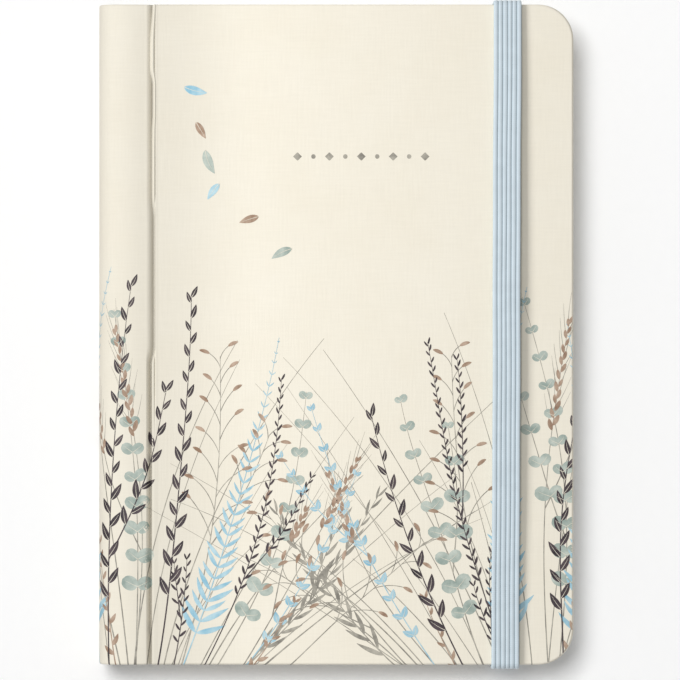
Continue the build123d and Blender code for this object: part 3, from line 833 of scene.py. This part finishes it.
def print_pieces():
    """Cuts each ink's ribbons by what carries them, wraps them round the case and gives them a film's
    thickness."""
    made = {}
    for layer, (ink, batches) in enumerate(prints.items()):
        points = np.concatenate([batch.reshape(-1, 2) for batch in batches])
        faces, ribbon_size, first = [], [], 0
        for batch in batches:
            count, samples = batch.shape[:2]
            faces.append(ribbon_faces(count, samples, first))
            ribbon_size.append(np.full(count, samples * 2))
            first += batch.size // 2
        ribbon_size = np.concatenate(ribbon_size)
        order = np.repeat(np.arange(len(ribbon_size)) * GOLDEN % 1, ribbon_size)
        lift = INK_LIFT + (layer + 0.9 * order) * INK_STEP
        corners = np.concatenate([points, lift[:, None]], axis=1)[np.concatenate(faces)]
        on = on_case(corners)
        rolled = np.abs(corners[..., 1]).max(axis=1) > HEAD - EDGE_ROUND
        plain = on.all(axis=1) & ~rolled
        fine, fine_quads = divided(corners[on.any(axis=1) & ~plain], AT_EDGE)
        cut = fine[fine_quads]
        corners = np.concatenate([corners[plain], cut[on_case(cut).all(axis=1)]])
        middle = corners[..., 0].mean(axis=1)
        for region, (low, high) in REGIONS.items():
            inside = (middle >= low) & (middle < high)
            if not inside.any():
                continue
            flat, quads = divided(corners[inside], FINER.get(region, 1))
            piece = make_piece(f"print_{region}_{ink}", wrap(*flat.T), quads, INKS[ink])
            # The ink in the groove takes the painted crease shade too
            if region == "groove":
                mark_creases(piece, flat[:, 0], flat[:, 1])
            thicken(piece, INK_FILM)
            made.setdefault(region, []).append(piece)
    return made


printed = print_pieces()
CARRIED_BY = {"front": "front_cover", "strip": "front_strip", "spine": "spine", "back": "back_cover"}
for region, body in CARRIED_BY.items():
    for piece in printed.get(region, []):
        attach(piece, body)
for fold in FOLDS:
    for piece in printed.get(fold, []):
        blend_over(piece)

# Elastic
BAND_X = (band_low[0] + band_high[0]) / 2
BAND_WIDE = band_high[0] - band_low[0]
BAND_THICK = 0.9  # where it is pressed into the back cover
BAND_GAP = band_high[1] - HEAD - BAND_THICK
BAND_MIDDLE = HEAD + BAND_GAP + ELASTIC_THICK / 2
BAND_TOP = TOP + BAND_GAP + ELASTIC_THICK / 2


def rounded_path(corners, radii, per_bend):
    """Path in y and z through corners: each is cut back by its radius times the tangent of half its turn and
    replaced by an arc. Returns the points and the direction at each."""
    corners = np.array(corners, float)
    points, ways = [corners[:1]], []
    leg = np.diff(corners, axis=0)
    way = leg / np.linalg.norm(leg, axis=1)[:, None]
    ways.append(way[:1])
    for corner, radius, into, out in zip(corners[1:-1], radii, way[:-1], way[1:]):
        turn = np.arctan2(into[0] * out[1] - into[1] * out[0], into @ out)
        normal = np.array([-into[1], into[0]]) * np.sign(turn)
        start = corner - into * radius * np.tan(abs(turn) / 2)
        swing = np.linspace(0, abs(turn), per_bend)[:, None]
        points.append(start + into * radius * np.sin(swing) + normal * radius * (1 - np.cos(swing)))
        ways.append(into * np.cos(swing) + normal * np.sin(swing))
    points.append(corners[-1:])
    ways.append(way[-1:])
    return np.concatenate(points), np.concatenate(ways)


def spread_along(points, ways, step):
    """Adds points along straight runs so that none is longer than a step."""
    distance = np.concatenate([[0], np.cumsum(np.linalg.norm(np.diff(points, axis=0), axis=1))])
    extra = np.arange(0, distance[-1], step)
    places = np.unique(np.concatenate([distance, extra]))
    spread = np.stack([np.interp(places, distance, points[:, i]) for i in (0, 1)], axis=-1)
    way = np.stack([np.interp(places, distance, ways[:, i]) for i in (0, 1)], axis=-1)
    return spread, way / np.linalg.norm(way, axis=1)[:, None], places


PER_RIB = 10  # points across a rib
PER_BEND = 9  # points round a bend
BAND_STEP = 3.0  # longest step along the band
RIB_EDGE = 0.15  # height of the band's two edges, as a share of a rib's
FREE_FADES = (0.5, 4.0)  # distances from its ends over which it thickens
SWAYS = ((0.05, 17.0, 0.0), (0.03, 6.1, 1.0))  # amount, length over two pi and phase of its slow sways
CROWD = 0.07  # its ribs stand this much closer or wider in places
CROWD_LENGTH = 23.0
CROWD_PHASE = 2.1  # from one rib to the next


def ribbed_band(name, corners, radii, free, stretched):
    """Ribbed elastic: its section, two rows of rounded ribs back to back, carried along a path in y and z.
    A rib rises over the valleys with the square root of a cosine, and the band thickens to free within a
    few millimetres of its ends. Where it is stretched over the front it is narrower, leans, and bows off
    the cover by a parabola. Sine waves along it sway it and crowd its ribs."""
    points, ways, places = spread_along(*rounded_path(corners, radii, PER_BEND), BAND_STEP)
    from_end = np.minimum(places, places[-1] - places)
    over_front = stretched * smoothstep(0, BAND_EASE, from_end)
    points[:, 1] += stretched * BAND_BOW * np.clip(1 - (points[:, 0] / HEAD) ** 2, 0, 1)
    lean = np.interp(points[:, 0], (-HEAD, HEAD), BAND_LEAN[::-1]) * over_front
    wide = BAND_WIDE - BAND_DRAW * over_front
    across = np.linspace(0, RIBS, RIBS * PER_RIB + 1)
    in_rib = 2 * (across % 1) - 1
    swell = RIB_VALLEY + (1 - RIB_VALLEY) * np.sqrt(np.clip(np.cos(np.pi / 2 * in_rib), 0, 1))
    swell[[0, -1]] = RIB_EDGE
    rib = np.concatenate([across, across[::-1]])
    rise = np.concatenate([swell, -swell[::-1]])
    half = (BAND_THICK + (free - BAND_THICK) * smoothstep(*FREE_FADES, from_end)) / 2
    normal = np.stack([ways[:, 1], -ways[:, 0]], axis=-1)
    offset = normal[:, None, :] * rise[None, :, None] * half[:, None, None]
    sway = sum(amount * np.sin(places / length + phase) for amount, length, phase in SWAYS)
    crowd = CROWD * np.sin(places[:, None] / CROWD_LENGTH + CROWD_PHASE * rib) * np.sin(np.pi * rib / RIBS)
    x = BAND_X + (rib[None, :] / RIBS - 0.5) * wide[:, None] + (lean + sway)[:, None] + crowd
    place = points[:, None, :] + offset
    grid = np.stack([x, place[..., 0], place[..., 1]], axis=-1)
    ends = grid[[0, -1]]
    ends[..., 1:] = points[[0, -1], None]
    grid = np.concatenate([ends[:1], grid, ends[1:]])
    along = np.concatenate([places[:1], places, places[-1:]])
    faces = grid_faces(len(grid), len(rib), closed=True)
    piece = make_piece(name, grid, faces, ELASTIC)
    layer = piece.data.uv_layers.new(name="along_the_band")
    flat = np.stack(np.broadcast_arrays(rib[None, :], along[:, None]), axis=-1).reshape(-1, 2)
    layer.data.foreach_set("uv", flat[faces.ravel()].ravel())
    return piece


hoop = [(HEAD, BAND_THICK / 2), (BAND_MIDDLE, BAND_THICK / 2), (BAND_MIDDLE, BAND_TOP),
        (-BAND_MIDDLE, BAND_TOP), (-BAND_MIDDLE, BAND_THICK / 2), (-HEAD, BAND_THICK / 2)]
turn_in = BAND_MIDDLE - HEAD
turn_over = BAND_CORNER + ELASTIC_THICK / 2
band = ribbed_band("elastic_band_woven", hoop, [turn_in, turn_over, turn_over, turn_in], ELASTIC_THICK, 1)
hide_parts("elastic_band")
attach(band, "closure")
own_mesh(band)

slit = HEAD - SLIT_INSET - BAND_THICK / 2
flap_z = end_high[2] - BAND_THICK / 2
for end, node in ((1, "elastic_end_head"), (-1, "elastic_end_tail")):
    route = [(end * HEAD, BAND_THICK / 2), (end * slit, BAND_THICK / 2), (end * slit, flap_z),
             (end * (slit + BAND_THICK / 2 - FLAP_END), flap_z)]
    tail = ribbed_band(f"{node}_woven", route, [BAND_THICK / 2 + SLIT_CORNER] * 2, BAND_THICK, 0)
    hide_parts(node)
    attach(tail, "back_cover")

# Leaves
BOUND_X = leaf_low[0]
LEAF_X = leaf_high[0]
LEAF_HEAD = leaf_high[1]
HOLE_X0 = BOUND_X + HOLE_MARGIN
HOLE_X1 = wire_high[0] + HOLE_CLEAR


def punched_sheets(name, low_z, high_z):
    """Loose leaves in a row: a grid over each leaf without the cells of its holes, whose rows are drawn in
    over the last columns so that its fore-edge corners follow a quarter circle."""
    swing = np.linspace(0, np.pi / 2, 8)
    x = np.concatenate([[BOUND_X, HOLE_X0, HOLE_X1], np.linspace(HOLE_X1, LEAF_X - LEAF_CORNER, 6)[1:-1],
                        LEAF_X - LEAF_CORNER + LEAF_CORNER * np.sin(swing)])
    past = np.clip((x - LEAF_X + LEAF_CORNER) / LEAF_CORNER, 0, 1)
    reach = LEAF_HEAD - LEAF_CORNER + LEAF_CORNER * np.sqrt(1 - past ** 2)
    centres = (np.arange(HOLES) - (HOLES - 1) / 2) * HOLE_PITCH
    edges = (centres[:, None] + np.array([-1, 1]) * HOLE_HEIGHT / 2).ravel()
    y = np.concatenate([[-LEAF_HEAD], edges, [LEAF_HEAD]])
    grid_x, grid_y = np.meshgrid(x, y, indexing="ij")
    grid_y = grid_y * (reach / LEAF_HEAD)[:, None]
    hole = np.zeros((len(x) - 1, len(y) - 1), bool)
    hole[1, 1::2] = True
    faces = grid_faces(len(x), len(y))[~hole.ravel()]
    level = np.linspace(low_z + SHEET, high_z, SHEETS)
    slip = rng.uniform(-SHEET_SLIP, SHEET_SLIP, (SHEETS, 2))
    sheets = np.stack([grid_x[None] + slip[:, 0, None, None], grid_y[None] + slip[:, 1, None, None],
                       np.broadcast_to(level[:, None, None], (SHEETS, *grid_x.shape))], axis=-1)
    numbers = (faces[None] + np.arange(SHEETS)[:, None, None] * grid_x.size).reshape(-1, 4)
    piece = make_piece(name, sheets, numbers, LEAF, smooth=False)
    thicken(piece, SHEET)
    return piece


def tab_letters(name, letters, centre, face):
    """Index letters one under another on a tab, facing up where face is 1 and down where it is -1."""
    words = bpy.data.curves.new(name, "FONT")
    words.body = "\n".join(letters.upper())
    words.align_x = "CENTER"
    words.align_y = "CENTER"
    words.size = LETTER_SIZE * MM
    words.space_line = LETTER_SPACING
    words.extrude = INK_FILM * MM
    text = bpy.data.objects.new(name, words)
    mesh = bpy.data.meshes.new_from_object(text)
    bpy.data.objects.remove(text)
    points = np.zeros(len(mesh.vertices) * 3)
    mesh.vertices.foreach_get("co", points)
    points = points.reshape(-1, 3) * np.array([face, 1, face]) + np.array(centre) * MM
    mesh.vertices.foreach_set("co", points.ravel())
    mesh.materials.clear()
    mesh.materials.append(INKS["grey"])
    mesh.update()
    piece = bpy.data.objects.new(name, mesh)
    bpy.context.scene.collection.objects.link(piece)
    return piece


TAB_PITCH = (2 * LEAF_HEAD - 2 * LEAF_CORNER) / len(SECTIONS)
for place, letters in enumerate(SECTIONS):
    low, high = node_box(f"leaves_{letters}")
    sheets = punched_sheets(f"leaves_{letters}_sheets", low[2], high[2])
    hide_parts(f"leaves_{letters}")
    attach(sheets, f"section_{letters}")
    tab_low, tab_high = node_box(f"tab_leaf_{letters}")
    tab_y = LEAF_HEAD - LEAF_CORNER - (place + 0.5) * TAB_PITCH
    tab_x = tab_high[0] - TAB_REACH / 2
    for side, face, z in (("front", 1, tab_high[2] + LETTER_LIFT), ("back", -1, tab_low[2] - LETTER_LIFT)):
        marks = tab_letters(f"tab_letters_{letters}_{side}", letters, (tab_x, tab_y, z), face)
        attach(marks, f"section_{letters}")


def title_frame():
    """Double rule round the title leaf: straight ribbons along the sides of two nested rectangles."""
    batches = []
    for inset, wide in TITLE_RULES:
        low = np.array([HOLE_X1 + inset - TITLE_BOUND, -LEAF_HEAD + inset])
        high = np.array([LEAF_X - inset, LEAF_HEAD - inset])
        across, up = high - low
        base = np.array([low, [high[0], low[1]], high, [low[0], high[1]]])
        angle = np.radians([0, 90, 180, 270])
        length = np.array([across, up, across, up])
        batches.append(blades(base, angle, length, 0.0, wide, law="rule"))
    flat = np.concatenate(batches)
    height = np.full((flat.size // 2, 1), leaf_high[2] + INK_LIFT)
    points = np.concatenate([flat.reshape(-1, 2), height], axis=1)
    piece = make_piece("title_leaf_frame", points, ribbon_faces(len(flat), BLADE_SAMPLES, 0), INKS["grey"])
    thicken(piece, INK_FILM)
    return piece


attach(title_frame(), "title_page")

# Finishes of the CAD nodes that stay in view
TITLE = writing_paper("uncoated title leaf", "#F5F0E4", "#F0EADC")
FINISH_BY_SLOT = {"cover_paper": COVER, "endpaper": ENDPAPER, "leaf_paper": LEAF, "tab_card": TAB,
                  "greyboard": BOARD, "binding_wire": WIRE, "elastic": ELASTIC}
FINISH_BY_NODE = {"title_leaf": TITLE, "front_cover_paper": HINGE_SHADED_PAPER, "strip_cover_paper": HINGE_SHADED_PAPER}
for subpart in frame["record"]["subparts"]:
    node = frame["nodes"][subpart["node"]]
    finish = FINISH_BY_NODE.get(subpart["node"], FINISH_BY_SLOT[subpart["material_slot"]])
    node.data.materials.clear()
    node.data.materials.append(finish)

# Studio: a white sweep with its own light, and soft light from the left: low on the front cover, high on
# the rest, and both on the groove
FLOOR_HALF = 1500.0
FLOOR_Z = -0.08
corner = np.array([[-1, -1], [1, -1], [1, 1], [-1, 1]]) * FLOOR_HALF
floor_points = np.concatenate([corner, np.full((4, 1), FLOOR_Z)], axis=1)
sweep = studio_sweep("white background paper")
floor = make_piece("studio_floor", floor_points, np.array([[0, 1, 2, 3]]), sweep)

SURROUND = 0.38  # share of white that comes from all sides
scene = bpy.context.scene


def area_light(name, place, size, share, pieces):
    """Square soft light aimed at the middle of the cover, on some pieces only. Its power is the share of
    white that it gives a level matt surface, times pi squared and the cube of its distance over its
    height."""
    lamp = bpy.data.lights.new(name, "AREA")
    away = np.array(place, float)
    lamp.size = size * MM
    lamp.energy = share * np.pi ** 2 * np.linalg.norm(away) ** 3 / away[2] * MM ** 2
    light = bpy.data.objects.new(name, lamp)
    light.location = (away + np.array([0, 0, TOP])) * MM
    light.rotation_euler = light.location.to_track_quat("Z", "Y").to_euler()
    scene.collection.objects.link(light)
    lit = bpy.data.collections.new(f"{name}_falls_on")
    for piece in pieces:
        lit.objects.link(piece)
    light.light_linking.receiver_collection = lit


LOW_LIGHT = ((-600, 120, 396), 282)  # place from the middle of the cover, and size
HIGH_LIGHT = ((-190, 150, 1400), 420)
front_pieces = printed["front"] + [frame["nodes"]["front_cover_paper"], band]
groove_pieces = printed["groove"] + [groove]
other_pieces = [piece for piece in scene.objects
                if piece.type == "MESH" and piece not in front_pieces + groove_pieces + [floor]]
LIGHTS = {  # place and size, share of white, and what is lit
    "floor_light": ((-330, 425, 1900), 680, 0.66, [floor]),
    "cover_light": (*LOW_LIGHT, 0.56, front_pieces),
    "cover_fill": ((-240, 0, 1000), 200, 0.19, front_pieces),
    "groove_light": (*LOW_LIGHT, 0.32, groove_pieces),
    "groove_fill": (*HIGH_LIGHT, 0.4, groove_pieces),
    "case_light": (*HIGH_LIGHT, 0.7, other_pieces),
}
for name, settings in LIGHTS.items():
    area_light(name, *settings)
world = bpy.data.worlds.new("pale_surround")
world.use_nodes = True
background = world.node_tree.nodes["Background"].inputs
background["Color"].default_value = (1, 1, 1, 1)
background["Strength"].default_value = SURROUND
scene.world = world
scene.view_settings.view_transform = "Standard"

CAMERA_X, CAMERA_Y = 1.07, -1.46  # middle of the photograph's frame
CAMERA_DISTANCE = 1200.0
FRAME_WIDTH = 183.28  # width of the view at the cover's face
SENSOR = 36.0
camera_data = bpy.data.cameras.new("camera")
camera_data.sensor_width = SENSOR
camera_data.lens = SENSOR * CAMERA_DISTANCE / FRAME_WIDTH
camera = bpy.data.objects.new("camera", camera_data)
camera.location = (CAMERA_X * MM, CAMERA_Y * MM, (TOP + CAMERA_DISTANCE) * MM)
scene.collection.objects.link(camera)
scene.camera = camera
